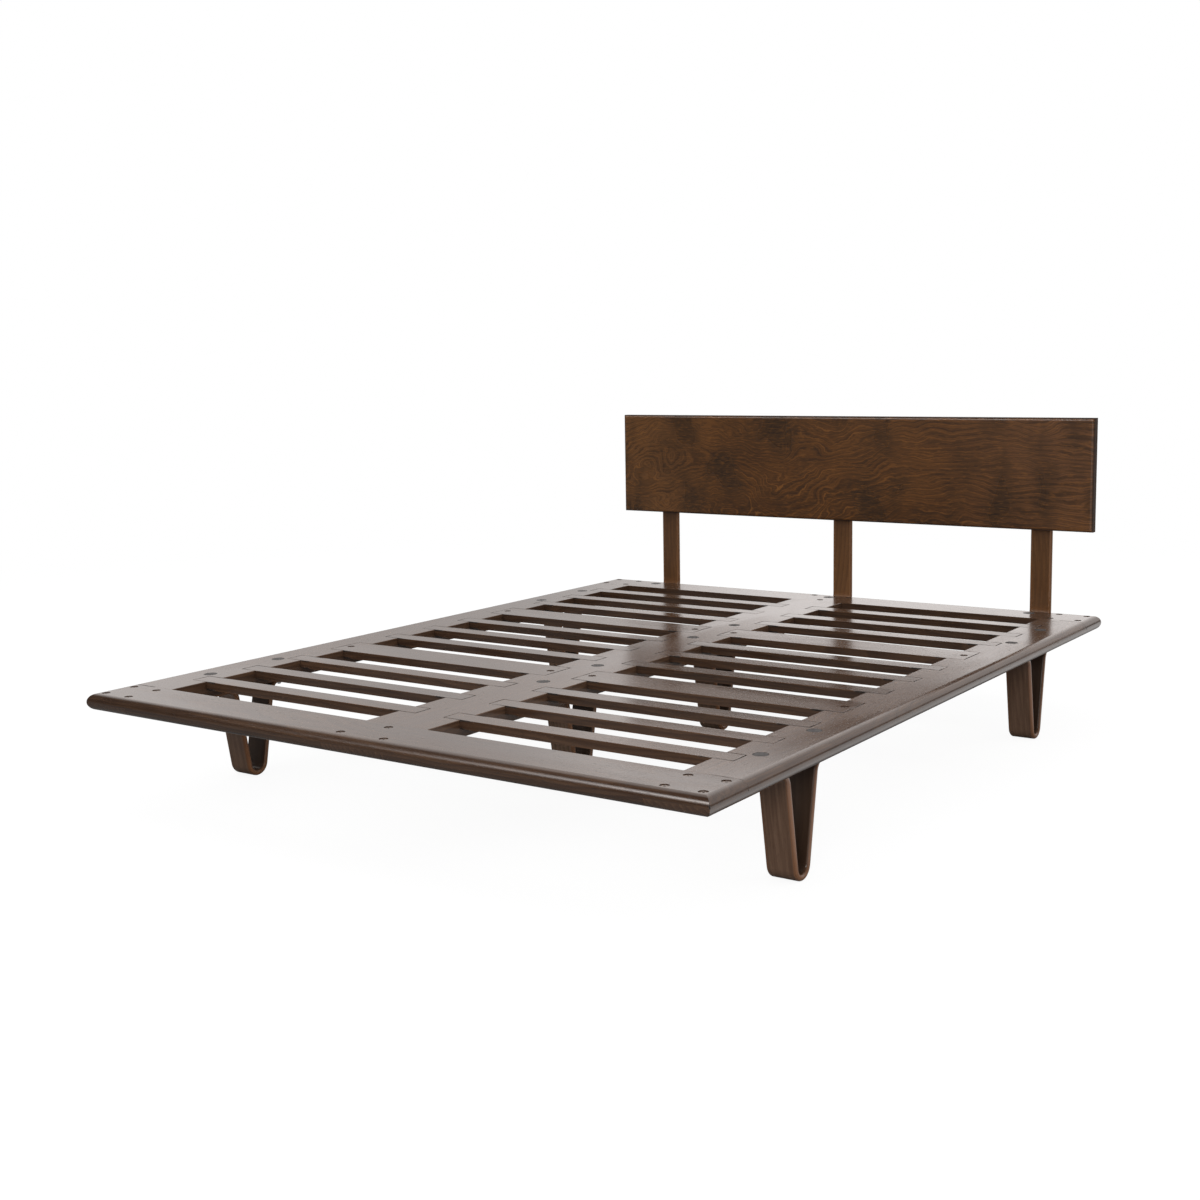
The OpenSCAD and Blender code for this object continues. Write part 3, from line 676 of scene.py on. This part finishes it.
tone = blend(tree, sum_of(tree, "MULTIPLY", flecks, 0.4), tone, colour(158, 103, 50))
tone = blend(tree, sum_of(tree, "MULTIPLY", grain["Fibre"], 0.22), tone, colour(134, 88, 44))
tone = blend(tree, sum_of(tree, "MULTIPLY", grain["Pores"], 0.4), tone, colour(34, 23, 17))
edge = use(tree, rubbed_edge, {"Place": place, "Middle": kept(tree, "board_middle"),
                               "Half": kept(tree, "board_half"), "Width": 0.0035})["Edge"]
tone = blend(tree, sum_of(tree, "MULTIPLY", edge, 0.1), tone, colour(130, 92, 64))
front_y, back_y = 1.049, 1.084
band = sum_of(tree, "MULTIPLY", fade(tree, y, front_y + 0.0005, front_y + 0.0035),
              fade(tree, y, back_y - 0.0002, back_y - 0.003))
tone = blend(tree, sum_of(tree, "MULTIPLY", band, 0.85), tone, colour(44, 33, 27))
tree.links.new(tone, shader.inputs["Base Color"])
gloss = sum_of(tree, "MULTIPLY_ADD", band, 0.62, fade(tree, cloud, 0, 1, 0.32, 0.26))
tree.links.new(gloss, shader.inputs["Roughness"])
bump = put(tree, "Bump", {"Strength": 0.1, "Distance": 0.0002, "Height": grain["Relief"]})
tree.links.new(bump.outputs[0], shader.inputs["Normal"])
dress(nodes["headboard"], veneer)
print("headboard", keep_size("headboard"), "finish:", len(tree.nodes), "nodes")

# %% [markdown]
# The straps are laminated: thin plies glued in a mould, all with their grain along the strap.
# On the flat faces that gives long soft streaks. On the round edges the plies come out as fine
# stripes, warmer than the faces, because the stain takes less there. The inner faces of the
# legs get painted shade, a darker colour for the shadow inside the V. The finish reads the
# strap's own places, so stripes and streaks follow every bend.

# %% Strap finish
ply_t = 0.00145

def strap_finish(name, face_dark, face_light, edge_tone, own_shift, painted_shade_strength):
    finish, tree, shader = new_finish(name)
    place = put(tree, "Attribute", attribute_name="strap_place").outputs["Vector"]
    inside = put(tree, "Attribute", attribute_name="edge_distance").outputs["Fac"]
    across, along, depth = put(tree, "SeparateXYZ", {0: place}).outputs[:3]
    laid = put(tree, "CombineXYZ", {0: along, 1: across, 2: depth}).outputs[0]
    own = put(tree, "ObjectInfo").outputs["Random"]
    board = sum_of(tree, "ADD", own, own_shift)
    grain = use(tree, wood_grain, {"Place": laid, "Board": board, "Ring Width": 0.014})
    ply = sum_of(tree, "MULTIPLY", depth, 1 / ply_t)
    glue = sum_of(tree, "ABSOLUTE", sum_of(tree, "SUBTRACT", sum_of(tree, "FRACT", ply), 0.5))
    glue = fade(tree, glue, 0.36, 0.48)
    layer = put(tree, "TexWhiteNoise", {"W": sum_of(tree, "FLOOR", ply)},
                noise_dimensions="1D").outputs["Value"]
    rim = fade(tree, inside, 0.0080, 0.0050)
    tone = blend(tree, grain["Drift"], face_dark, face_light)
    tone = blend(tree, sum_of(tree, "MULTIPLY", grain["Fibre"], 0.5), tone, face_light)
    tone = blend(tree, sum_of(tree, "MULTIPLY", grain["Rings"], 0.5), tone, face_dark)
    tone = blend(tree, sum_of(tree, "MULTIPLY", grain["Pores"], 0.4), tone, colour(38, 28, 22))
    plies = blend(tree, sum_of(tree, "MULTIPLY", layer, 0.5), edge_tone, face_dark)
    plies = blend(tree, sum_of(tree, "MULTIPLY", glue, 0.75), plies, colour(40, 28, 20))
    tone = blend(tree, sum_of(tree, "MULTIPLY", rim, 0.85), tone, plies)
    # Painted shade: the inner faces of the legs are blended toward a dark brown, for the shadow
    # that falls inside the V; the posts get none.
    inner_painted_shade = fade(tree, depth, 0.0045, 0.0064, 0.0, painted_shade_strength)
    tone = blend(tree, inner_painted_shade, tone, colour(34, 25, 19))
    tree.links.new(tone, shader.inputs["Base Color"])
    gloss = fade(tree, grain["Drift"], 0.0, 1.0, 0.28, 0.36)
    tree.links.new(gloss, shader.inputs["Roughness"])
    height = sum_of(tree, "MULTIPLY_ADD", sum_of(tree, "MULTIPLY", glue, rim), -0.6,
                    grain["Relief"])
    bump = put(tree, "Bump", {"Strength": 0.15, "Distance": 0.0002, "Height": height})
    tree.links.new(bump.outputs[0], shader.inputs["Normal"])
    return finish

leg_finish = strap_finish("bent ply, legs", colour(78, 63, 53), colour(152, 127, 108),
                          colour(148, 98, 61), 0.0, 0.8)
post_finish = strap_finish("bent ply, posts", colour(98, 66, 40), colour(138, 95, 57),
                           colour(150, 102, 64), 2.0, 0.0)
for node, piece in straps.items():
    dress(piece, post_finish if node.startswith("post") else leg_finish)
print("straps", len(straps))

# %% [markdown]
# The metal and plastic parts are small, but they are close to the eye. The joint bolts and the
# slats' bolts have a brown bronze finish. The inserts are brass, the bolts, washers and nuts
# underneath are zinc plated, and the round plugs are a dark moulded plastic. One group gives
# all of them the same fine handling marks, in patches and speckles.

# %% Handling marks group
tree, given, result = group(
    "handling marks", [("Place", "Vector", (0, 0, 0)), ("Size", "Float", 400.0)],
    [("Marks", "Float"), ("Speckle", "Float"), ("Relief", "Float")])
cells = noise(tree, given.outputs["Place"], (1, 1, 1), given.outputs["Size"], detail=3)
fine = noise(tree, given.outputs["Place"], (5, 5, 5), given.outputs["Size"], detail=1)
tree.links.new(fade(tree, cells, 0.4, 0.65), result.inputs["Marks"])
tree.links.new(fade(tree, fine, 0.55, 0.75), result.inputs["Speckle"])
tree.links.new(sum_of(tree, "MULTIPLY_ADD", fine, 0.4, cells), result.inputs["Relief"])
handling_marks = tree
print("handling marks:", len(tree.nodes), "nodes")

# %% Finishes of the small parts
def small_finish(name, base, worn, metallic, rough, size):
    finish, tree, shader = new_finish(name)
    place = put(tree, "TexCoord").outputs["Object"]
    marks = use(tree, handling_marks, {"Place": place, "Size": size})
    tone = blend(tree, sum_of(tree, "MULTIPLY", marks["Marks"], 0.6), base, worn)
    tone = blend(tree, sum_of(tree, "MULTIPLY", marks["Speckle"], 0.35), tone,
                 tuple(c * 0.5 for c in base[:3]) + (1.0,))
    tree.links.new(tone, shader.inputs["Base Color"])
    tree.links.new(fade(tree, marks["Marks"], 0, 1, rough[0], rough[1]),
                   shader.inputs["Roughness"])
    shader.inputs["Metallic"].default_value = metallic
    bump = put(tree, "Bump", {"Strength": 0.1, "Distance": 0.0001, "Height": marks["Relief"]})
    tree.links.new(bump.outputs[0], shader.inputs["Normal"])
    return finish

finishes = {
    "bronze": small_finish("brown bronze", colour(80, 62, 50), colour(112, 90, 72), 0.35,
                           (0.3, 0.22), 300.0),
    "brass": small_finish("brass", colour(196, 160, 92), colour(222, 190, 120), 1.0,
                          (0.35, 0.24), 350.0),
    "zinc": small_finish("zinc plate", colour(168, 170, 172), colour(200, 202, 204), 1.0,
                         (0.42, 0.3), 260.0),
    "plug": small_finish("dark moulded plastic", colour(44, 41, 41), colour(58, 54, 53), 0.0,
                         (0.62, 0.54), 220.0)}
small = {"rail_joint_bolts": "bronze", "slat_bolts": "bronze", "rail_joint_inserts": "brass",
         "slat_inserts": "brass", "panel_inserts": "brass", "strap_bolts": "zinc",
         "strap_washers": "zinc", "strap_nuts": "zinc", "panel_bolts": "zinc",
         "panel_washers": "zinc", "strap_plugs": "plug"}
for node, kind in small.items():
    dress(nodes[node], finishes[kind])
print("small parts", len(small))
